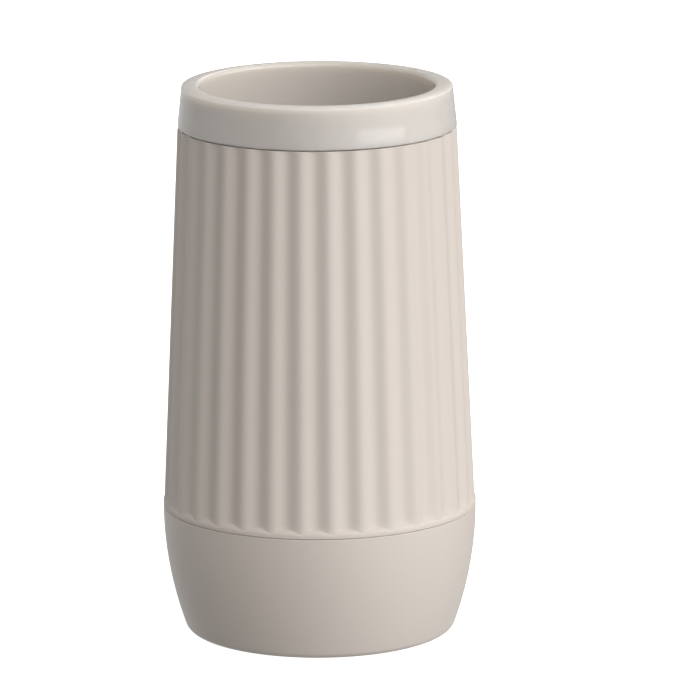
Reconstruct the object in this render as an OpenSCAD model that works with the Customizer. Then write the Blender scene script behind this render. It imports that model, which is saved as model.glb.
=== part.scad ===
// Bathroom tumbler: a glossy inner cup that hangs by its rim in a matte fluted sleeve,
// which snaps over a smooth rounded base. Millimetres, +Z up, origin at the middle of
// the foot, on the table.

/* [Base] */
// Height of the base, from the table to the seam under the sleeve
base_h = 30.6; // [28:0.1:36]
// How far the base's wall stays inside the sleeve's band at that seam
base_inset = 0; // [0:0.05:0.5]
// How far the foot's flat underside stays inside the wall at the seam
foot_inset = 7.1; // [6:0.1:9]
// Radius of the foot's outer edge
foot_round = 2.2; // [1.5:0.1:4]
// Thickness of the wall near the foot
base_wall = 2; // [1.6:0.1:2.4]
// Thickness of the floor
base_floor = 2.2; // [1.6:0.1:3]
// Radius between the wall and the floor, inside
base_corner = 3; // [1:0.1:4]
// Width of the flat ring that the tumbler stands on
foot_land = 3; // [2:0.1:6]
// Depth of the recess inside that ring
foot_recess = 1; // [0.6:0.1:1.6]
// Radius of the base's top edge, seen as the light line under the seam
base_edge_round = 0.4; // [0.2:0.05:0.6]

/* [Sleeve] */
// Diameter of the plain band below the flutes, the widest of the tumbler
band_d = 75; // [65:0.5:90]
// Height of the sleeve, from the lower seam to the shoulder under the rim
sleeve_h = 91.7; // [70:0.1:110]
// Lean of the sleeve's wall, in degrees
sleeve_lean = 2.6; // [1:0.1:4]
// Number of flutes round the sleeve
flute_count = 32; // [28:1:36]
// Depth of a flute at the bottom, from crest to floor
flute_depth = 0.84; // [0.6:0.02:1.2]
// Radius of a crest at the bottom
crest_round = 3.6; // [3.2:0.1:4]
// Thickness of the wall under a flute's floor
sleeve_wall = 1.3; // [1.1:0.1:1.6]
// How far the band stands proud of the crests
band_proud = 0.1; // [0.1:0.05:0.6]
// Height at which the band's upper edge starts to round in
band_h = 0.75; // [0.5:0.05:1.4]
// Radius of that edge, whose shelf closes the flutes' lower ends
band_round = 1.3; // [0.8:0.1:1.6]
// Thickness of the shoulder that the neck stands on
shoulder_t = 1.8; // [1.4:0.1:2.4]

/* [Inner cup] */
// Height of the rim band, from its lower edge to the top of the lip
rim_h = 9.9; // [8:0.1:12]
// How far the rim band's lower edge stays inside the crests under it
rim_inset = 0.05; // [0:0.05:0.5]
// Lean of the rim band, in degrees
rim_lean = 6; // [4:0.1:6.5]
// Width of the lip, from the mouth to the outside of the rim band
lip_w = 4.2; // [3.8:0.1:5.5]
// Distance from the mouth to the lip's highest ring
lip_crest_w = 1.1; // [1:0.1:1.6]
// Radius of the lip's low crown
lip_crown_r = 13; // [10:0.5:20]
// Radius of the lip's outer edge
lip_outer_round = 0.7; // [0.4:0.05:1]
// Radius of the lip's inner edge
lip_inner_round = 1; // [0.6:0.05:1.2]
// Thickness of the lip above the channel
lip_wall = 2; // [1.8:0.1:2.6]
// Thickness of the cup's wall
cup_wall = 1.5; // [1.3:0.05:1.6]
// Thickness of the rim band's wall
skirt_wall = 1.3; // [1.1:0.05:1.4]
// Gap between the cup's foot and the base's floor
cup_foot_gap = 3.5; // [1:0.5:20]
// Thickness of the cup's floor
cup_floor = 1.8; // [1.4:0.1:2.4]
// Radius between the cup's wall and floor, inside
cup_corner = 4; // [2:0.5:6]
// Draft of the cup's wall, in degrees
cup_draft = 1.2; // [0.8:0.1:1.6]

/* [Fits] */
// Gap between the lifting cup and the pieces beside it
lift_gap = 0.3; // [0.25:0.05:0.35]
// Gap at the seam under the rim and at the cup's seat
rim_gap = 0.25; // [0.25:0.05:0.5]
// Open gap at the seam between sleeve and base
seam_gap = 0.1; // [0.1:0.05:0.3]
// Width of that open gap, from the outside in
seam_land = 1.3; // [1:0.1:1.6]
// Gap between the base's spigot and the sleeve
spigot_gap = 0.15; // [0.1:0.05:0.25]
// Height of the spigot above the seam
spigot_h = 7; // [6.5:0.1:9]
// Length of straight collar left in the sleeve above the spigot
spigot_head = 1; // [0.5:0.1:2]
// Thickness of the spigot
spigot_wall = 1.5; // [1.2:0.1:2]
// Depth of the slot between the spigot and the base's outer wall
slot_depth = 9; // [5:0.5:10]
// Height of the snap bead above the seam
bead_z = 4.4; // [4:0.1:5]
// How far the snap bead stands proud of the spigot
bead_proud = 0.45; // [0.3:0.05:0.5]
// Height of the snap bead where it leaves the spigot
bead_h = 1.5; // [1.2:0.1:1.8]
// Gap between the snap bead and its groove
bead_gap = 0.08; // [0.05:0.01:0.12]
// Gap between the cup's foot and the socket ring on the base's floor
socket_gap = 0.4; // [0.3:0.05:0.8]
// Thickness of the socket ring
socket_wall = 1.2; // [1:0.1:2]
// Length of cup wall that the socket ring holds, above the cup's corner
socket_grip = 3; // [2:0.5:6]

/* [Hidden] */
// Node names

// Fineness of round surfaces and of the arcs in an outline
$fn = 128;
arc_steps = 12;
// Overrun of cuts past the faces that they open
cut = 1;

// Colours of the three finishes
gloss_greige = [0.82, 0.78, 0.73];
matte_greige = [0.80, 0.75, 0.70];
satin_greige = [0.76, 0.71, 0.67];

// The widest radius, which the sleeve, the base and the rim all follow
band_r = band_d / 2;

// Heights of the seams and of the top
sleeve_z = base_h;
shoulder_z = sleeve_z + sleeve_h;
rim_z = shoulder_z + rim_gap;
top_z = rim_z + rim_h;

// Base
base_top_r = band_r - base_inset;
foot_r = base_top_r - foot_inset;
// Radius of the belly arc, which leaves the seam upright and meets the foot's edge without a corner
belly_r = (pow(foot_inset, 2) + pow(base_h - foot_round, 2) - pow(foot_round, 2))
    / (2 * (foot_inset - foot_round));
belly_x = base_top_r - belly_r;
foot_tangent = asin((base_h - foot_round) / (belly_r - foot_round));
floor_z = foot_recess + base_floor;
inner_belly_r = belly_r - base_wall;
recess_r = foot_r - foot_land;

// Sleeve
crest_r = band_r - band_proud;
crest_top_r = crest_r - sleeve_h * tan(sleeve_lean);
// Height above the lower seam at which the sleeve's slope would meet the axis
apex_h = crest_r / tan(sleeve_lean);
flute_pitch = 360 / flute_count;
floor_r = crest_r - flute_depth;
// Angle at which a crest's arc crosses the flute's arc, near enough to a smooth wave
wave_crossing = 8;
// Distance of a crest's centre from the axis
crest_axis_r = crest_r - crest_round;
half_pitch_cos = cos(flute_pitch / 2);
// Radius of a flute that meets the crests beside it at that angle
flute_round = (pow(crest_axis_r, 2) + pow(floor_r, 2) - 2 * crest_axis_r * floor_r * half_pitch_cos
    - pow(crest_round, 2)) / (2 * (crest_round * cos(wave_crossing) + crest_axis_r * half_pitch_cos - floor_r));
flute_axis_r = floor_r + flute_round;
// Radius of the cone that the crests stand on, under the wave's lowest crossings
core_share = 0.75;
core_r = crest_r - flute_depth * core_share;

// Bore of the sleeve: a straight collar for the spigot, then parallel to the crests
collar_h = spigot_h + spigot_head;
collar_r = bore_r(collar_h);
groove_depth = bead_proud - spigot_gap + bead_gap;

// Spigot of the base
spigot_r = collar_r - spigot_gap;
spigot_in_r = spigot_r - spigot_wall;
// Angles down the belly at which its inner face leaves the spigot's bore and meets the inner corner
turn_tangent = acos((spigot_in_r - belly_x) / inner_belly_r);
corner_tangent = asin((base_h - floor_z - base_corner) / (inner_belly_r - base_corner));
slot_tangent = asin(slot_depth / inner_belly_r);
base_corner_r = belly_x + (inner_belly_r - base_corner) * cos(corner_tangent);

// Rim of the cup
rim_r = crest_top_r - rim_inset;
mouth_r = rim_out_r(top_z) - lip_w;
lip_r = mouth_r + lip_crest_w;
crown_z = top_z - lip_crown_r;
roof_z = top_z - lip_wall;
// Turns of the crown on each side of its crest, up to the rounded edges
outer_turn = asin(((rim_r - lip_r) * cos(rim_lean) - (crown_z - rim_z) * sin(rim_lean) - lip_outer_round)
    / (lip_crown_r - lip_outer_round)) - rim_lean;
inner_turn = asin(((lip_r - mouth_r) * cos(cup_draft) + lip_crown_r * sin(cup_draft) - lip_inner_round)
    / (lip_crown_r - lip_inner_round)) - cup_draft;

// Body of the cup
cup_foot_z = floor_z + cup_foot_gap;
cup_floor_z = cup_foot_z + cup_floor;
cup_outer_corner = cup_corner + cup_wall;

// Neck of the sleeve, which stands in the channel behind the rim band
neck_top_z = roof_z - rim_gap;
neck_in_r = cup_out_r(neck_top_z) + lift_gap;

// Socket ring on the base's floor
socket_z = cup_foot_z + cup_outer_corner + socket_grip;
socket_r = cup_out_r(socket_z) + socket_gap;

// Radius of the sleeve's bore at a height above the lower seam, parallel to the flutes' floors
function bore_r(h) = floor_r * taper(h) - sleeve_wall;

// Shrink of the fluted section at a height above the lower seam
function taper(h) = 1 - h / apex_h;

// Radius of the cup's wall, inside and outside, at a height above the table
function cup_in_r(z) = mouth_r - (top_z - z) * tan(cup_draft);
function cup_out_r(z) = cup_in_r(z) + cup_wall / cos(cup_draft);

// Radius of the rim band, outside and inside, at a height above the table
function rim_out_r(z) = rim_r - (z - rim_z) * tan(rim_lean);
function rim_in_r(z) = rim_out_r(z) - skirt_wall / cos(rim_lean);

// Points along an arc, from one angle to another
function arc(centre, radius, from, to) =
    [for (i = [0:arc_steps]) centre + radius * [cos(from + (to - from) * i / arc_steps),
        sin(from + (to - from) * i / arc_steps)]];

// Glossy inner cup: floor, wall, broad lip and the rim band that comes down outside it
module inner_cup() {
    crown = [lip_r, crown_z];
    inner_edge = crown + (lip_crown_r - lip_inner_round) * [-sin(inner_turn), cos(inner_turn)];
    outer_edge = crown + (lip_crown_r - lip_outer_round) * [sin(outer_turn), cos(outer_turn)];
    in_corner = [cup_in_r(cup_floor_z + cup_corner) - cup_corner, cup_floor_z + cup_corner];
    out_corner = [in_corner[0], cup_foot_z + cup_outer_corner];
    color(gloss_greige)
    rotate_extrude()
    polygon(concat(
        [[0, cup_floor_z]],
        arc(in_corner, cup_corner, -90, 0),
        arc(inner_edge, lip_inner_round, 180 - cup_draft, 90 + inner_turn),
        arc(crown, lip_crown_r, 90 + inner_turn, 90 - outer_turn),
        arc(outer_edge, lip_outer_round, 90 - outer_turn, rim_lean),
        [
            [rim_out_r(rim_z), rim_z],
            [rim_in_r(rim_z), rim_z],
            [rim_in_r(roof_z), roof_z],
            [cup_out_r(roof_z), roof_z]
        ],
        arc(out_corner, cup_outer_corner, 0, -90),
        [[0, cup_foot_z]]
    ));
}

// One rod that shrinks with the sleeve's slope; it makes a crest, or cuts a flute
module tapered_rod(axis_r, radius) {
    low = -cut;
    high = sleeve_h + cut;
    inward = axis_r * (taper(low) - taper(high));
    translate([axis_r * taper(low), 0, low])
    rotate([0, -atan(inward / (high - low)), 0])
    cylinder(h = norm([inward, high - low]), r1 = radius * taper(low), r2 = radius * taper(high));
}

// The outside of the sleeve, with its flutes running from end to end
module fluted_wall() {
    trim_r = crest_r + crest_top_r;
    difference() {
        intersection() {
            union() {
                cylinder(h = sleeve_h, r1 = core_r, r2 = core_r * taper(sleeve_h));
                for (i = [0:flute_count - 1])
                    rotate([0, 0, (i + 0.5) * flute_pitch])
                    tapered_rod(crest_axis_r, crest_round);
            }
            cylinder(h = sleeve_h, r = trim_r);
        }
        for (i = [0:flute_count - 1])
            rotate([0, 0, i * flute_pitch])
            tapered_rod(flute_axis_r, flute_round);
    }
}

// The plain band at the foot of the sleeve; its rounded shelf closes the flutes' lower ends
module band() {
    rotate_extrude()
    polygon(concat(
        [[0, 0], [band_r, 0]],
        arc([band_r - band_round, band_h], band_round, 0, 90),
        [[0, band_h + band_round]]
    ));
}

// The bore of the sleeve, with the groove for the base's snap bead
module sleeve_bore() {
    under_shoulder = sleeve_h - shoulder_t;
    rotate_extrude()
    polygon([
        [0, -cut],
        [collar_r, -cut],
        [collar_r, bead_z - bead_h / 2 - bead_gap],
        [collar_r + groove_depth, bead_z],
        [collar_r, bead_z + bead_h / 2 + bead_gap],
        [collar_r, collar_h],
        [bore_r(under_shoulder), under_shoulder],
        [0, under_shoulder]
    ]);
}

// The neck on the shoulder, with the hole that the cup hangs through
module neck() {
    neck_h = neck_top_z - shoulder_z;
    rotate_extrude()
    polygon([
        [neck_in_r, sleeve_h - shoulder_t],
        [rim_in_r(rim_z) - lift_gap, sleeve_h - shoulder_t],
        [rim_in_r(rim_z) - lift_gap, sleeve_h],
        [rim_in_r(neck_top_z) - lift_gap, sleeve_h + neck_h],
        [neck_in_r, sleeve_h + neck_h]
    ]);
}

// Matte fluted sleeve, the outer wall of the tumbler
module fluted_sleeve() {
    color(matte_greige)
    translate([0, 0, sleeve_z])
    union() {
        difference() {
            union() {
                fluted_wall();
                band();
            }
            sleeve_bore();
            translate([0, 0, sleeve_h - shoulder_t - cut])
            cylinder(h = shoulder_t + 2 * cut, r = neck_in_r);
        }
        neck();
    }
}

// The base without its socket: rounded foot, recessed floor, wall and snap spigot
module base_shell() {
    belly = [belly_x, base_h];
    edge_z = base_h - seam_gap - base_edge_round;
    edge_tangent = asin((base_h - edge_z) / belly_r);
    rotate_extrude()
    polygon(concat(
        [[0, foot_recess], [recess_r, foot_recess], [recess_r, 0]],
        arc([foot_r, foot_round], foot_round, -90, -foot_tangent),
        arc(belly, belly_r, -foot_tangent, -edge_tangent),
        arc([base_top_r - base_edge_round, edge_z], base_edge_round, 0, 90),
        [[base_top_r - seam_land, base_h - seam_gap], [base_top_r - seam_land, base_h]],
        arc(belly, inner_belly_r, 0, -slot_tangent),
        [[spigot_r, base_h - slot_depth]],
        [for (point = spigot_outline()) point + [0, base_h]],
        arc(belly, inner_belly_r, -turn_tangent, -corner_tangent),
        arc([base_corner_r, floor_z + base_corner], base_corner, -corner_tangent, -90),
        [[0, floor_z]]
    ));
}

// Outline of the spigot above the seam, with its snap bead and the lead-in at its top
function spigot_outline() = [
    [spigot_r, bead_z - bead_h / 2],
    [spigot_r + bead_proud, bead_z],
    [spigot_r, bead_z + bead_h / 2],
    [spigot_r, spigot_h - bead_proud],
    [spigot_r - bead_proud, spigot_h],
    [spigot_in_r, spigot_h]
];

// Socket ring that stands in the base's floor and steadies the cup's foot
module socket_ring() {
    root_z = floor_z - base_floor / 2;
    rotate_extrude()
    polygon([
        [socket_r, root_z],
        [socket_r + socket_wall, root_z],
        [socket_r + socket_wall, socket_z],
        [socket_r, socket_z]
    ]);
}

// Satin base, with the socket that steadies the cup
module base() {
    color(satin_greige)
    union() {
        base_shell();
        socket_ring();
    }
}

inner_cup();
fluted_sleeve();
base();
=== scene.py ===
"""Bathroom tumbler: glossy inner cup, matte fluted sleeve and satin base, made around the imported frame."""
import math

import bpy
from mathutils import Matrix, Quaternion, Vector


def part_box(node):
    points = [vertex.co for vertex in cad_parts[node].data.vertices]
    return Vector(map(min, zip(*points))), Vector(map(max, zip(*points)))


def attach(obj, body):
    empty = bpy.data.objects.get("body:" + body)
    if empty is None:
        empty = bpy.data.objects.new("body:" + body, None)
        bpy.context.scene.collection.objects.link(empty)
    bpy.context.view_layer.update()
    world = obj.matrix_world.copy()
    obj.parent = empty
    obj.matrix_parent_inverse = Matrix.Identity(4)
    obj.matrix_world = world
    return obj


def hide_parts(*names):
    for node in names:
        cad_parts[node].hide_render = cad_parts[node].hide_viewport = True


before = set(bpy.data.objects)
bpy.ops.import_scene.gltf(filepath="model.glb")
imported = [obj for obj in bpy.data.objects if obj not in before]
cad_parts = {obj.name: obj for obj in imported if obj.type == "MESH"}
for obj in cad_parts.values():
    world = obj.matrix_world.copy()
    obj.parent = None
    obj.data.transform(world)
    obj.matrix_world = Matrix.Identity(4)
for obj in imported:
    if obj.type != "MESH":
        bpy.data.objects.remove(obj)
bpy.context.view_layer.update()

MM = 0.001

# Places that the frame gives
BASE_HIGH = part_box("base")[1]
SLEEVE_LOW, SLEEVE_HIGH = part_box("fluted_sleeve")
CUP_LOW, CUP_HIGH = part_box("inner_cup")
SEAM_Z = SLEEVE_LOW.z
BAND_R = min(SLEEVE_HIGH.x, SLEEVE_HIGH.y, -SLEEVE_LOW.x, -SLEEVE_LOW.y)
NECK_TOP_Z = SLEEVE_HIGH.z
SPIGOT_TOP_Z = BASE_HIGH.z
TOP_Z = CUP_HIGH.z
CUP_FOOT_Z = CUP_LOW.z
RIM_R = min(CUP_HIGH.x, CUP_HIGH.y, -CUP_LOW.x, -CUP_LOW.y)

# Base, with the spigot that snaps into the sleeve, the socket that steadies the cup and the mould's gate mark
BASE_R = BAND_R
FOOT_INSET = 7.1 * MM
FOOT_ROUND = 2.2 * MM
BASE_WALL = 2 * MM
FLOOR_T = 2.2 * MM
FLOOR_CORNER = 3 * MM
FOOT_LAND = 3 * MM
FOOT_RECESS = 1 * MM
SEAM_GAP = 0.1 * MM
SEAM_LAND = 1.3 * MM
SEAM_EDGE = 0.3 * MM
SLOT_DEPTH = 9 * MM
SPIGOT_WALL = 1.5 * MM
SPIGOT_GAP = 0.15 * MM
BEAD_Z = 4.4 * MM
BEAD_PROUD = 0.45 * MM
BEAD_H = 1.5 * MM
BEAD_GAP = 0.08 * MM
SOCKET_GAP = 0.4 * MM
SOCKET_WALL = 1.2 * MM
SOCKET_GRIP = 3 * MM
GATE_R = 2.2 * MM
GATE_DEPTH = 0.4 * MM
GATE_STUB_R = 0.6 * MM

# Sleeve. The band at its foot fades out between two heights, and each flute ends there in a rounded shelf
SLEEVE_H = 91.7 * MM
SLEEVE_LEAN = math.radians(2.6)
BAND_PROUD = 0.1 * MM
BAND_FADE = (0.6 * MM, 3.4 * MM)
SLEEVE_WALL = 1.3 * MM
SHOULDER_T = 1.8 * MM
COLLAR_OVER = 1 * MM
COLLAR_H = SPIGOT_TOP_Z - SEAM_Z + COLLAR_OVER
FLUTE_COUNT = 32
FLUTE_DEPTH = 0.84 * MM
SHELF_START = 0.75 * MM
SHELF_RISE = 1.3 * MM
SHELF_DEPTH = 1.3 * MM
SHELF_LEAST = 0.16 * MM
SHELF_FADE = 3 * MM
SHELF_ROWS = 10
BAND_ROW = 0.3 * MM
WALL_ROW = 2.5 * MM

# Cup. The lip's top is a flat arc, highest at its crest
RIM_H = 9.9 * MM
RIM_LEAN = math.radians(6)
LIP_W = 4.2 * MM
LIP_CREST_W = 1.1 * MM
LIP_CROWN_R = 13 * MM
LIP_OUTER_ROUND = 0.3 * MM
LIP_INNER_ROUND = 1 * MM
LIP_T = 2 * MM
SKIRT_WALL = 1.3 * MM
CUP_WALL = 1.5 * MM
CUP_FLOOR = 1.8 * MM
CUP_CORNER = 4 * MM
CUP_DRAFT = math.radians(1.2)
LIFT_GAP = 0.3 * MM

# Small radii that a mould leaves on every edge
EDGE = 0.25 * MM
FINE_EDGE = 0.12 * MM

# Turning: points in a ring and in each flute, the steps along an arc, and how near the axis a point counts as
# on it
ROUND_SEGMENTS = 256
FLUTE_SEGMENTS = 24
ARC_STEP = math.radians(9)
SMALL_ARC_STEP = math.radians(22.5)
ARC_CHORD = 1.2 * MM
LEAST_STEPS = 3
ON_AXIS = 0.0001 * MM
QUARTER_TURN = math.pi / 2

# Heights and radii that several pieces share
SHOULDER_Z = SEAM_Z + SLEEVE_H
RIM_Z = TOP_Z - RIM_H
ROOF_Z = TOP_Z - LIP_T
FLOOR_Z = FOOT_RECESS + FLOOR_T
CREST_R = BAND_R - BAND_PROUD
APEX_H = CREST_R / math.tan(SLEEVE_LEAN)
MOUTH_R = RIM_R - RIM_H * math.tan(RIM_LEAN) - LIP_W

# Each plastic's name, colour and roughness, and the size and depth of its mould's grain
GLOSSY_GREIGE = ("glossy_greige", (0.636, 0.58, 0.525), 0.05, 1.6 * MM, 0.0006 * MM)
MATTE_GREIGE = ("matte_greige", (0.592, 0.531, 0.478), 0.58, 0.22 * MM, 0.0015 * MM)
SATIN_GREIGE = ("satin_greige", (0.587, 0.528, 0.476), 0.38, 0.3 * MM, 0.0015 * MM)

# What all three plastics share, and the glow of light inside the glossy one
PLASTIC_IOR = 1.49
CLOUD_SIZE = 24 * MM
CLOUD_SHARE = 0.012
POLISH_SIZE = 9 * MM
POLISH_SHARE = 0.12
GLOW_REACH = 5 * MM
GLOW_TINT = (1, 0.95, 0.85)


def arc(centre, radius, start, end):
    """Points along an arc round (radius, height), from one angle to another."""
    sweep = abs(end - start)
    step = SMALL_ARC_STEP if radius <= EDGE else ARC_STEP
    steps = max(LEAST_STEPS, math.ceil(sweep / step), math.ceil(sweep * radius / ARC_CHORD))
    turns = [start + (end - start) * i / steps for i in range(steps + 1)]
    return [(centre[0] + radius * math.cos(turn), centre[1] + radius * math.sin(turn)) for turn in turns]


def rounded(corners):
    """An outline from (radius, height) points, where a third number rounds that corner by so much."""
    outline = []
    for i, corner in enumerate(corners):
        here = Vector(corner[:2])
        if len(corner) == 2:
            outline.append(tuple(here))
            continue
        back = (Vector(corners[i - 1][:2]) - here).normalized()
        on = (Vector(corners[(i + 1) % len(corners)][:2]) - here).normalized()
        half = back.angle(on) / 2
        radius = corner[2]
        centre = here + (back + on).normalized() * radius / math.sin(half)
        first = here + back * radius / math.tan(half) - centre
        last = here + on * radius / math.tan(half) - centre
        start = math.atan2(first.y, first.x)
        turn = math.remainder(math.atan2(last.y, last.x) - start, math.tau)
        outline += arc(centre, radius, start, start + turn)
    return outline


def turned_mesh(name, outline, segments):
    """A mesh turned round the axis from an anticlockwise outline. Points on the axis become single poles."""
    points, rings = [], []
    for radius, height in outline:
        if radius < ON_AXIS:
            rings.append([len(points)] * segments)
            points.append((0, 0, height))
            continue
        rings.append(list(range(len(points), len(points) + segments)))
        for i in range(segments):
            turn = math.tau * i / segments
            points.append((radius * math.cos(turn), radius * math.sin(turn), height))
    closed = outline[0][0] > ON_AXIS
    next_rings = rings[1:] + rings[:1] if closed else rings[1:]
    faces = []
    for low, high in zip(rings, next_rings):
        for i in range(segments):
            j = (i + 1) % segments
            corners = [low[i], low[j], high[j], high[i]]
            faces.append(list(dict.fromkeys(corners)))
    mesh = bpy.data.meshes.new(name)
    mesh.from_pydata(points, [], faces)
    mesh.validate()
    mesh.shade_smooth()
    return mesh


def new_piece(mesh, material):
    """An object at the origin that holds a mesh and one material."""
    mesh.materials.append(material)
    piece = bpy.data.objects.new(mesh.name, mesh)
    bpy.context.scene.collection.objects.link(piece)
    return piece


def settle(piece):
    """Turns a piece's modifiers into plain mesh, with normals that keep its flat faces flat."""
    weights = piece.modifiers.new("Flat faces", "WEIGHTED_NORMAL")
    weights.keep_sharp = False
    graph = bpy.context.evaluated_depsgraph_get()
    shaped = piece.evaluated_get(graph)
    mesh = bpy.data.meshes.new_from_object(shaped, preserve_all_data_layers=True, depsgraph=graph)
    mesh.name = piece.name
    piece.modifiers.clear()
    plain = piece.data
    piece.data = mesh
    bpy.data.meshes.remove(plain)
    return piece


def taper(height):
    """Shrink of the fluted section at a height above the table."""
    return 1 - (height - SEAM_Z) / APEX_H


def cup_in_r(height):
    """Inside radius of the cup's wall."""
    return MOUTH_R - (TOP_Z - height) * math.tan(CUP_DRAFT)


def cup_out_r(height):
    """Outside radius of the cup's wall."""
    return cup_in_r(height) + CUP_WALL / math.cos(CUP_DRAFT)


def rim_out_r(height):
    """Outside radius of the rim band."""
    return RIM_R - (height - RIM_Z) * math.tan(RIM_LEAN)


def rim_in_r(height):
    """Inside radius of the rim band."""
    return rim_out_r(height) - SKIRT_WALL / math.cos(RIM_LEAN)


def bore_r(height):
    """Radius of the sleeve's bore, parallel to the flutes' floors."""
    return (CREST_R - FLUTE_DEPTH) * taper(height) - SLEEVE_WALL


# Radii where the pieces meet
COLLAR_R = bore_r(SEAM_Z + COLLAR_H)
SPIGOT_R = COLLAR_R - SPIGOT_GAP
NECK_OUT_R = rim_in_r(RIM_Z) - LIFT_GAP


def cup_outline():
    """The cup from the middle of its foot, up outside, over the lip and down inside to its floor."""
    crown = Vector((MOUTH_R + LIP_CREST_W, TOP_Z - LIP_CROWN_R))
    lip_reach = (rim_out_r(crown.y) - crown.x) * math.cos(RIM_LEAN)
    outer_turn = math.asin((lip_reach - LIP_OUTER_ROUND) / (LIP_CROWN_R - LIP_OUTER_ROUND)) - RIM_LEAN
    mouth_reach = LIP_CREST_W * math.cos(CUP_DRAFT) + LIP_CROWN_R * math.sin(CUP_DRAFT)
    inner_turn = math.asin((mouth_reach - LIP_INNER_ROUND) / (LIP_CROWN_R - LIP_INNER_ROUND)) - CUP_DRAFT
    outer = crown + (LIP_CROWN_R - LIP_OUTER_ROUND) * Vector((math.sin(outer_turn), math.cos(outer_turn)))
    inner = crown + (LIP_CROWN_R - LIP_INNER_ROUND) * Vector((-math.sin(inner_turn), math.cos(inner_turn)))
    outer_corner = CUP_CORNER + CUP_WALL
    cup_floor_z = CUP_FOOT_Z + CUP_FLOOR
    corner_r = cup_in_r(cup_floor_z + CUP_CORNER) - CUP_CORNER
    foot = [(0, CUP_FOOT_Z)] + arc((corner_r, CUP_FOOT_Z + outer_corner), outer_corner, -QUARTER_TURN, 0)
    channel = rounded([
        foot[-1],
        (cup_out_r(ROOF_Z), ROOF_Z, EDGE),
        (rim_in_r(ROOF_Z), ROOF_Z, EDGE),
        (rim_in_r(RIM_Z), RIM_Z, FINE_EDGE),
        (rim_out_r(RIM_Z), RIM_Z, EDGE),
        (rim_out_r(TOP_Z - LIP_OUTER_ROUND), TOP_Z - LIP_OUTER_ROUND),
    ])[1:-1]
    lip = arc(outer, LIP_OUTER_ROUND, RIM_LEAN, QUARTER_TURN - outer_turn)
    lip += arc(crown, LIP_CROWN_R, QUARTER_TURN - outer_turn, QUARTER_TURN + inner_turn)[1:]
    lip += arc(inner, LIP_INNER_ROUND, QUARTER_TURN + inner_turn, math.pi - CUP_DRAFT)[1:]
    inside = arc((corner_r, cup_floor_z + CUP_CORNER), CUP_CORNER, 0, -QUARTER_TURN)
    inside.append((0, cup_floor_z))
    return foot + channel + lip + inside


def wall_rows():
    """The sleeve's outer wall over its crests, from seam to shoulder, with the flared band at its foot."""
    below = round(SHELF_START / BAND_ROW)
    heights = [SHELF_START * i / below for i in range(1, below)]
    turns = [QUARTER_TURN * i / SHELF_ROWS for i in range(SHELF_ROWS + 1)]
    heights += [SHELF_START + SHELF_RISE * math.sin(turn) for turn in turns]
    corner = heights[-1]
    above = math.ceil(SHELF_FADE / BAND_ROW)
    heights += [corner + SHELF_FADE * i / above for i in range(1, above + 1)]
    plain = heights[-1]
    coarse = math.ceil((SLEEVE_H - plain) / WALL_ROW)
    heights += [plain + (SLEEVE_H - EDGE - plain) * i / coarse for i in range(1, coarse)]
    low, high = BAND_FADE
    rows = []
    for height in heights:
        faded = min(max((height - low) / (high - low), 0), 1)
        flare = 1 - faded * faded * (3 - 2 * faded)
        crest_r = CREST_R * taper(SEAM_Z + height)
        rows.append((crest_r + (BAND_R - crest_r) * flare, SEAM_Z + height))
    return rows


def sleeve_outline():
    """The sleeve from its bore at the seam, up outside, over the shoulder and the neck, and down the bore."""
    neck_in_r = cup_out_r(NECK_TOP_Z) + LIFT_GAP
    under_z = SHOULDER_Z - SHOULDER_T
    groove_r = COLLAR_R + BEAD_PROUD - SPIGOT_GAP + BEAD_GAP
    groove_half = BEAD_H / 2 + BEAD_GAP
    return rounded([
        (COLLAR_R, SEAM_Z, FINE_EDGE),
        (BAND_R, SEAM_Z, FINE_EDGE),
        *wall_rows(),
        (CREST_R * taper(SHOULDER_Z), SHOULDER_Z, EDGE),
        (NECK_OUT_R, SHOULDER_Z, FINE_EDGE),
        (rim_in_r(NECK_TOP_Z) - LIFT_GAP, NECK_TOP_Z, FINE_EDGE),
        (neck_in_r, NECK_TOP_Z, FINE_EDGE),
        (neck_in_r, under_z, FINE_EDGE),
        (bore_r(under_z), under_z, EDGE),
        (COLLAR_R, SEAM_Z + COLLAR_H, FINE_EDGE),
        (COLLAR_R, SEAM_Z + BEAD_Z + groove_half, FINE_EDGE),
        (groove_r, SEAM_Z + BEAD_Z, FINE_EDGE),
        (COLLAR_R, SEAM_Z + BEAD_Z - groove_half, FINE_EDGE),
    ])


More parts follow.
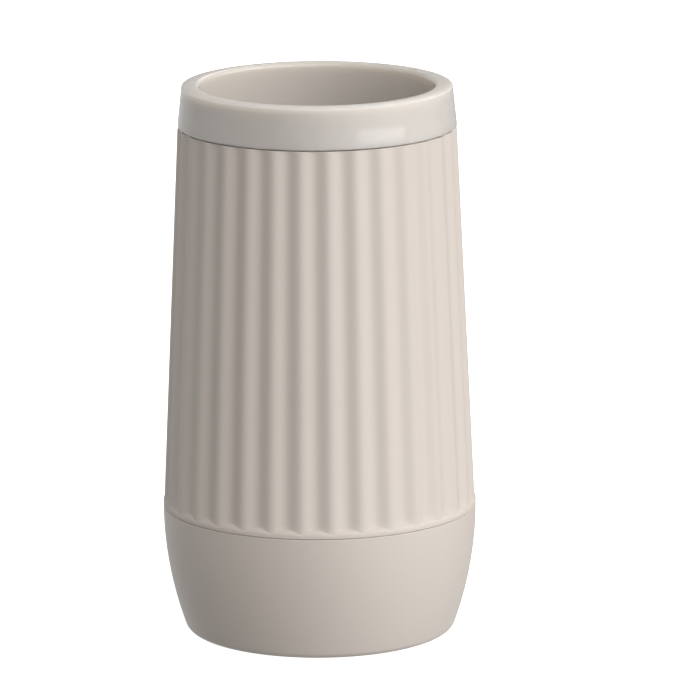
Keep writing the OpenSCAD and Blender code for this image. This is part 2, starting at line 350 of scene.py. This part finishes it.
def base_outline():
    """The base from the middle of its underside, round the foot, up the belly, over the spigot and down."""
    foot_r = BASE_R - FOOT_INSET
    rise = SEAM_Z - FOOT_ROUND
    belly_r = (FOOT_INSET ** 2 + rise ** 2 - FOOT_ROUND ** 2) / (2 * (FOOT_INSET - FOOT_ROUND))
    belly = Vector((BASE_R - belly_r, SEAM_Z))
    inner_r = belly_r - BASE_WALL
    foot_turn = math.asin(rise / (belly_r - FOOT_ROUND))
    edge_z = SEAM_Z - SEAM_GAP - SEAM_EDGE
    edge_turn = math.asin((SEAM_Z - edge_z) / belly_r)
    slot_turn = math.asin(SLOT_DEPTH / inner_r)
    spigot_in_r = SPIGOT_R - SPIGOT_WALL
    turn_in = math.acos((spigot_in_r - belly.x) / inner_r)
    corner_turn = math.asin((SEAM_Z - FLOOR_Z - FLOOR_CORNER) / (inner_r - FLOOR_CORNER))
    corner_r = belly.x + (inner_r - FLOOR_CORNER) * math.cos(corner_turn)
    socket_z = CUP_FOOT_Z + CUP_CORNER + CUP_WALL + SOCKET_GRIP
    socket_r = cup_out_r(socket_z) + SOCKET_GAP
    underside = rounded([
        (0, FOOT_RECESS + GATE_DEPTH / 2),
        (GATE_STUB_R, FOOT_RECESS + GATE_DEPTH / 2, FINE_EDGE),
        (GATE_STUB_R, FOOT_RECESS + GATE_DEPTH, FINE_EDGE / 2),
        (GATE_R - GATE_DEPTH, FOOT_RECESS + GATE_DEPTH, FINE_EDGE),
        (GATE_R, FOOT_RECESS, FINE_EDGE),
        (foot_r - FOOT_LAND, FOOT_RECESS, EDGE),
        (foot_r - FOOT_LAND, 0, EDGE),
        (foot_r, 0),
    ])
    outside = arc((foot_r, FOOT_ROUND), FOOT_ROUND, -QUARTER_TURN, -foot_turn)[1:]
    outside += arc(belly, belly_r, -foot_turn, -edge_turn)[1:]
    outside += arc((BASE_R - SEAM_EDGE, edge_z), SEAM_EDGE, 0, QUARTER_TURN)
    slot_wall = arc(belly, inner_r, 0, -slot_turn)
    bead = [(SPIGOT_R, -BEAD_H / 2), (SPIGOT_R + BEAD_PROUD, 0), (SPIGOT_R, BEAD_H / 2)]
    spigot = rounded([
        outside[-1],
        (BASE_R - SEAM_LAND, SEAM_Z - SEAM_GAP, FINE_EDGE / 2),
        (BASE_R - SEAM_LAND, SEAM_Z, FINE_EDGE / 2),
        (*slot_wall[0], FINE_EDGE),
        *slot_wall[1:-1],
        (*slot_wall[-1], FINE_EDGE),
        (SPIGOT_R, SEAM_Z - SLOT_DEPTH, FINE_EDGE),
        *[(r, SEAM_Z + BEAD_Z + z, FINE_EDGE) for r, z in bead],
        (SPIGOT_R, SPIGOT_TOP_Z - BEAD_PROUD, FINE_EDGE),
        (SPIGOT_R - BEAD_PROUD, SPIGOT_TOP_Z, FINE_EDGE),
        (spigot_in_r, SPIGOT_TOP_Z, FINE_EDGE),
        (spigot_in_r, SEAM_Z - inner_r * math.sin(turn_in)),
    ])[1:]
    inside = arc(belly, inner_r, -turn_in, -corner_turn)[1:]
    inside += arc((corner_r, FLOOR_Z + FLOOR_CORNER), FLOOR_CORNER, -corner_turn, -QUARTER_TURN)[1:]
    socket = rounded([
        inside[-1],
        (socket_r + SOCKET_WALL, FLOOR_Z),
        (socket_r + SOCKET_WALL, socket_z, EDGE),
        (socket_r, socket_z, EDGE),
        (socket_r, FLOOR_Z, EDGE),
        (0, FLOOR_Z),
    ])[1:]
    return underside + outside + spigot + inside + socket


def link(tree, value, socket):
    """Feeds a socket from another socket, or sets its number, vector or colour."""
    if isinstance(value, bpy.types.NodeSocket):
        tree.links.new(value, socket)
    else:
        socket.default_value = value


def maths(tree, operation, *values):
    """A math node's output, from sockets and numbers."""
    node = tree.nodes.new("ShaderNodeMath")
    node.operation = operation
    for value, socket in zip(values, node.inputs):
        link(tree, value, socket)
    return node.outputs[0]


FLUTE_SHARE = "flute_share"
FLUTE_INPUTS = {
    "Flute Count": FLUTE_COUNT,
    "Flute Depth": FLUTE_DEPTH,
    "Apex Height": APEX_H,
    "Seam Height": SEAM_Z,
    "Shelf Start": SHELF_START,
    "Shelf Rise": SHELF_RISE,
    "Shelf Depth": SHELF_DEPTH,
    "Shelf Least": SHELF_LEAST,
    "Shelf Fade": SHELF_FADE,
}


def flute_tree(material):
    """Geometry Nodes that press soft flutes into a turned sleeve, each closed by a rounded shelf at its foot.

    The rows of the mesh between the shelf's start and its inner corner are drawn down towards the crests, so
    that one row runs along that corner all the way round.
    """
    tree = bpy.data.node_groups.new("Flutes", "GeometryNodeTree")
    tree.interface.new_socket("Sleeve", in_out="INPUT", socket_type="NodeSocketGeometry")
    for name in FLUTE_INPUTS:
        tree.interface.new_socket(name, in_out="INPUT", socket_type="NodeSocketFloat")
    tree.interface.new_socket("Fluted Sleeve", in_out="OUTPUT", socket_type="NodeSocketGeometry")
    given = tree.nodes.new("NodeGroupInput").outputs
    place = tree.nodes.new("ShaderNodeSeparateXYZ")
    tree.links.new(tree.nodes.new("GeometryNodeInputPosition").outputs[0], place.inputs[0])
    x, y, z = place.outputs
    share = tree.nodes.new("GeometryNodeInputNamedAttribute")
    share.data_type = "FLOAT"
    share.inputs["Name"].default_value = FLUTE_SHARE

    height = maths(tree, "SUBTRACT", z, given["Seam Height"])
    shrink = maths(tree, "SUBTRACT", 1, maths(tree, "DIVIDE", height, given["Apex Height"]))
    turn = maths(tree, "MULTIPLY", maths(tree, "ARCTAN2", y, x), given["Flute Count"])
    wave = maths(tree, "MULTIPLY_ADD", maths(tree, "COSINE", turn), 0.5, 0.5)
    flute = maths(tree, "MULTIPLY", maths(tree, "MULTIPLY", wave, given["Flute Depth"]), shrink)

    def quarter(value):
        """The other coordinate of a point on a quarter circle of radius 1."""
        rest = maths(tree, "SUBTRACT", 1, maths(tree, "POWER", value, 2))
        return maths(tree, "SQRT", maths(tree, "MAXIMUM", rest, 0))

    def clamped(value):
        """A value held between 0 and 1."""
        return maths(tree, "MINIMUM", maths(tree, "MAXIMUM", value, 0), 1)

    cut = quarter(maths(tree, "SUBTRACT", 1, maths(tree, "DIVIDE", flute, given["Shelf Depth"])))
    corner = maths(tree, "MAXIMUM", maths(tree, "MULTIPLY", cut, given["Shelf Rise"]), given["Shelf Least"])
    drop = maths(tree, "SUBTRACT", corner, given["Shelf Rise"])
    over = maths(tree, "SUBTRACT", height, given["Shelf Start"])
    below = clamped(maths(tree, "DIVIDE", over, given["Shelf Rise"]))
    past = maths(tree, "DIVIDE", maths(tree, "SUBTRACT", over, given["Shelf Rise"]), given["Shelf Fade"])
    above = clamped(maths(tree, "SUBTRACT", 1, past))
    lift = maths(tree, "MULTIPLY", maths(tree, "MULTIPLY", drop, below), above)
    lift = maths(tree, "MULTIPLY", lift, share.outputs["Attribute"])
    climb = clamped(maths(tree, "DIVIDE", maths(tree, "ADD", over, lift), given["Shelf Rise"]))
    shelf = maths(tree, "MULTIPLY", maths(tree, "SUBTRACT", 1, quarter(climb)), given["Shelf Depth"])
    depth = maths(tree, "MINIMUM", flute, shelf)
    inward = maths(tree, "MULTIPLY", maths(tree, "MULTIPLY", depth, share.outputs["Attribute"]), -1)

    radial = tree.nodes.new("ShaderNodeCombineXYZ")
    tree.links.new(x, radial.inputs[0])
    tree.links.new(y, radial.inputs[1])
    unit = tree.nodes.new("ShaderNodeVectorMath")
    unit.operation = "NORMALIZE"
    tree.links.new(radial.outputs[0], unit.inputs[0])
    push = tree.nodes.new("ShaderNodeVectorMath")
    push.operation = "SCALE"
    tree.links.new(unit.outputs[0], push.inputs[0])
    tree.links.new(inward, push.inputs["Scale"])
    rise = tree.nodes.new("ShaderNodeCombineXYZ")
    tree.links.new(lift, rise.inputs[2])
    move = tree.nodes.new("ShaderNodeVectorMath")
    tree.links.new(push.outputs[0], move.inputs[0])
    tree.links.new(rise.outputs[0], move.inputs[1])

    press = tree.nodes.new("GeometryNodeSetPosition")
    tree.links.new(given["Sleeve"], press.inputs["Geometry"])
    tree.links.new(move.outputs[0], press.inputs["Offset"])
    realise = tree.nodes.new("GeometryNodeRealizeInstances")
    tree.links.new(press.outputs[0], realise.inputs[0])
    finish = tree.nodes.new("GeometryNodeSetMaterial")
    finish.inputs["Material"].default_value = material
    tree.links.new(realise.outputs[0], finish.inputs["Geometry"])
    tree.links.new(finish.outputs[0], tree.nodes.new("NodeGroupOutput").inputs[0])
    return tree


def mark_flutes(mesh, outline, segments):
    """Gives each point its share of the flutes: all of it on the wall, fading out across the shoulder."""
    edge_r = CREST_R * taper(SHOULDER_Z) - EDGE
    shares = []
    for radius, height in outline:
        on_wall = radius > CREST_R * taper(height) - EDGE and SEAM_Z < height < SHOULDER_Z - EDGE / 2
        on_shoulder = abs(height - SHOULDER_Z) <= EDGE and radius > NECK_OUT_R
        fade = min(max((radius - NECK_OUT_R) / (edge_r - NECK_OUT_R), 0), 1) if on_shoulder else 0
        shares += [1 if on_wall else fade] * segments
    mesh.attributes.new(FLUTE_SHARE, "FLOAT", "POINT").data.foreach_set("value", shares)


# A Mix node's sockets when it mixes colours
MIX_DARK = 6
MIX_PALE = 7
MIX_RESULT = 2


def greige_plastic(name, colour, roughness, grain_size, grain_depth, glow=0):
    """Moulded plastic: faint clouding of its colour, uneven polish and the fine grain of its mould."""
    material = bpy.data.materials.new(name)
    material.use_nodes = True
    tree = material.node_tree
    shader = tree.nodes["Principled BSDF"]
    shader.inputs["IOR"].default_value = PLASTIC_IOR
    shader.inputs["Subsurface Weight"].default_value = glow
    shader.inputs["Subsurface Radius"].default_value = GLOW_TINT
    shader.inputs["Subsurface Scale"].default_value = GLOW_REACH
    place = tree.nodes.new("ShaderNodeTexCoord").outputs["Object"]

    def noise(size, detail):
        """Soft blotches of about a given size, with finer ones in them as detail rises."""
        node = tree.nodes.new("ShaderNodeTexNoise")
        tree.links.new(place, node.inputs["Vector"])
        node.inputs["Scale"].default_value = 1 / size
        node.inputs["Detail"].default_value = detail
        return node.outputs["Fac"]

    clouds = tree.nodes.new("ShaderNodeMix")
    clouds.data_type = "RGBA"
    tree.links.new(noise(CLOUD_SIZE, detail=3), clouds.inputs[0])
    clouds.inputs[MIX_DARK].default_value = (*[channel * (1 - CLOUD_SHARE) for channel in colour], 1)
    clouds.inputs[MIX_PALE].default_value = (*[channel * (1 + CLOUD_SHARE) for channel in colour], 1)
    tree.links.new(clouds.outputs[MIX_RESULT], shader.inputs["Base Color"])

    polish = tree.nodes.new("ShaderNodeMapRange")
    tree.links.new(noise(POLISH_SIZE, detail=4), polish.inputs["Value"])
    polish.inputs["To Min"].default_value = roughness * (1 - POLISH_SHARE)
    polish.inputs["To Max"].default_value = roughness * (1 + POLISH_SHARE)
    tree.links.new(polish.outputs[0], shader.inputs["Roughness"])

    grain = tree.nodes.new("ShaderNodeBump")
    grain.inputs["Strength"].default_value = 1
    grain.inputs["Distance"].default_value = grain_depth
    tree.links.new(noise(grain_size, detail=2), grain.inputs["Height"])
    tree.links.new(grain.outputs[0], shader.inputs["Normal"])
    return material


def make_cup():
    """Glossy inner cup, whose plastic glows a little with the light inside it."""
    finish = greige_plastic(*GLOSSY_GREIGE, glow=1)
    cup = settle(new_piece(turned_mesh("glossy_cup", cup_outline(), ROUND_SEGMENTS), finish))
    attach(cup, "cup")
    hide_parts("inner_cup")


def make_sleeve():
    """Matte sleeve, its flutes pressed in by the Geometry Nodes tree."""
    finish = greige_plastic(*MATTE_GREIGE)
    outline = sleeve_outline()
    segments = FLUTE_COUNT * FLUTE_SEGMENTS
    mesh = turned_mesh("fluted_wall", outline, segments)
    mark_flutes(mesh, outline, segments)
    sleeve = new_piece(mesh, finish)
    flutes = sleeve.modifiers.new("Flutes", "NODES")
    flutes.node_group = flute_tree(finish)
    for item in flutes.node_group.interface.items_tree:
        if item.in_out == "INPUT" and item.name in FLUTE_INPUTS:
            flutes[item.identifier] = float(FLUTE_INPUTS[item.name])
    settle(sleeve)
    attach(sleeve, "shell")
    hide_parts("fluted_sleeve")


def make_base():
    """Satin base, with its foot and its spigot."""
    finish = greige_plastic(*SATIN_GREIGE)
    base = settle(new_piece(turned_mesh("rounded_base", base_outline(), ROUND_SEGMENTS), finish))
    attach(base, "shell")
    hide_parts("base")


# Camera, placed as the photograph sees the tumbler
CAMERA_AWAY = 1505.17 * MM
CAMERA_UP = 408.43 * MM
CAMERA_TURN = math.radians(1.2)
CAMERA_ROLL = math.radians(-0.312)
CAMERA_AIM = Vector((7.47 * MM, 0, 67.68 * MM))
CAMERA_LENS = 332.25
CAMERA_SENSOR = 36
CAMERA_CLIP = (0.1, 20)


def make_camera():
    """Telephoto camera slightly above the rim."""
    data = bpy.data.cameras.new("camera")
    data.lens = CAMERA_LENS
    data.sensor_width = CAMERA_SENSOR
    data.clip_start, data.clip_end = CAMERA_CLIP
    camera = bpy.data.objects.new("camera", data)
    turn = Matrix.Rotation(CAMERA_TURN, 3, "Z")
    camera.location = turn @ Vector((0, -CAMERA_AWAY, CAMERA_UP))
    look = (turn @ CAMERA_AIM - camera.location).to_track_quat("-Z", "Y")
    camera.rotation_euler = (look @ Quaternion((0, 0, 1), CAMERA_ROLL)).to_euler()
    bpy.context.scene.collection.objects.link(camera)
    bpy.context.scene.camera = camera


def direction(azimuth, elevation):
    """A unit vector, from degrees to the right of the camera's side and above the floor."""
    turn, rise = math.radians(azimuth), math.radians(elevation)
    return Vector((math.sin(turn) * math.cos(rise), -math.cos(turn) * math.cos(rise), math.sin(rise)))


# Narrow strip of light beside the rim, which the glossy band mirrors as a bright streak
GLINT_AZIMUTH = 51
GLINT_AWAY = 150 * MM
GLINT_Z = 124.6 * MM
GLINT_SIZE = (105 * MM, 3.2 * MM)
GLINT_TILT = math.radians(-2.3)
GLINT_POWER = 0.0028


def make_glint():
    """The strip of light, facing the tumbler's axis."""
    data = bpy.data.lights.new("glint", "AREA")
    data.shape = "RECTANGLE"
    data.size, data.size_y = GLINT_SIZE
    data.energy = GLINT_POWER
    glint = bpy.data.objects.new("glint", data)
    out = direction(GLINT_AZIMUTH, 0)
    glint.location = out * GLINT_AWAY + Vector((0, 0, GLINT_Z))
    glint.rotation_euler = (out.to_track_quat("Z", "Y") @ Quaternion((0, 0, 1), GLINT_TILT)).to_euler()
    glint.visible_diffuse = False
    glint.visible_camera = False
    bpy.context.scene.collection.objects.link(glint)


# Soft light all round: where each pool of it is, in degrees to the right of the camera's side and above the
# floor, how narrow it is and how strong
SOFT_LIGHT = [
    (0, 40, 12, 0.5),
    (30, 28, 12, 2.25),
    (60, 28, 12, 0.9),
    (90, 25, 12, 1.5),
    (-90, 12, 12, 0.8),
    (-140, 10, 12, 0.6),
    (60, -35, 6, 0.5),
    (180, -35, 6, 0.7),
    (165, 30, 60, 2.5),
]
EVEN_LIGHT = 0.01
WHITE = (1, 1, 1, 1)


def make_sky():
    """A studio without walls: pools of soft light on an even glow."""
    world = bpy.data.worlds.new("studio")
    world.use_nodes = True
    sky = world.node_tree
    way = sky.nodes.new("ShaderNodeTexCoord").outputs["Generated"]
    level = EVEN_LIGHT
    for azimuth, elevation, narrowness, strength in SOFT_LIGHT:
        facing = sky.nodes.new("ShaderNodeVectorMath")
        facing.operation = "DOT_PRODUCT"
        sky.links.new(way, facing.inputs[0])
        facing.inputs[1].default_value = direction(azimuth, elevation)
        pool = maths(sky, "POWER", maths(sky, "MULTIPLY_ADD", facing.outputs["Value"], 0.5, 0.5), narrowness)
        level = maths(sky, "MULTIPLY_ADD", pool, strength, level)
    shine = sky.nodes["Background"]
    shine.inputs["Color"].default_value = WHITE
    sky.links.new(level, shine.inputs["Strength"])
    bpy.context.scene.world = world


# Floor, which lies a hair below the foot and runs up into a backdrop
FLOOR_HALF_WIDTH = 4
FLOOR_FRONT = -3
BACKDROP_BACK = 2.5
BACKDROP_TOP = 3
BACKDROP_BEND = 0.8
BACKDROP_STEPS = 16
FLOOR_DROP = 0.02 * MM
FLOOR_COLOUR = (0.85, 0.85, 0.84, 1)
FLOOR_ROUGHNESS = 0.9
FLOOR_SHINE = 0.1
FLOOR_GLOW = 0.9


def pale_paint():
    """White paint that glows a little and is clear from below, so that the foot can be seen through it."""
    paint = bpy.data.materials.new("pale_floor")
    paint.use_nodes = True
    tree = paint.node_tree
    shader = tree.nodes["Principled BSDF"]
    shader.inputs["Base Color"].default_value = FLOOR_COLOUR
    shader.inputs["Roughness"].default_value = FLOOR_ROUGHNESS
    shader.inputs["Specular IOR Level"].default_value = FLOOR_SHINE
    shader.inputs["Emission Color"].default_value = WHITE
    shader.inputs["Emission Strength"].default_value = FLOOR_GLOW
    one_sided = tree.nodes.new("ShaderNodeMixShader")
    tree.links.new(tree.nodes.new("ShaderNodeNewGeometry").outputs["Backfacing"], one_sided.inputs[0])
    tree.links.new(shader.outputs[0], one_sided.inputs[1])
    tree.links.new(tree.nodes.new("ShaderNodeBsdfTransparent").outputs[0], one_sided.inputs[2])
    tree.links.new(one_sided.outputs[0], tree.nodes["Material Output"].inputs["Surface"])
    return paint


def make_stage():
    """Soft light, and a pale floor that runs up into a backdrop."""
    bpy.context.scene.view_settings.view_transform = "Standard"
    make_sky()
    make_glint()
    turns = [QUARTER_TURN * i / BACKDROP_STEPS for i in range(BACKDROP_STEPS + 1)]
    bend = [(BACKDROP_BEND * (math.sin(turn) - 1), BACKDROP_BEND * (1 - math.cos(turn))) for turn in turns]
    sweep = [(FLOOR_FRONT, -FLOOR_DROP)]
    sweep += [(BACKDROP_BACK + y, z - FLOOR_DROP) for y, z in bend]
    sweep.append((BACKDROP_BACK, BACKDROP_TOP))
    points = [(side * FLOOR_HALF_WIDTH, y, z) for y, z in sweep for side in (-1, 1)]
    faces = [(2 * i, 2 * i + 1, 2 * i + 3, 2 * i + 2) for i in range(len(sweep) - 1)]
    mesh = bpy.data.meshes.new("floor")
    mesh.from_pydata(points, [], faces)
    mesh.shade_smooth()
    floor = new_piece(mesh, pale_paint())
    floor.visible_diffuse = False
    floor.visible_glossy = False
    floor.visible_shadow = False


make_camera()
make_cup()
make_sleeve()
make_base()
make_stage()
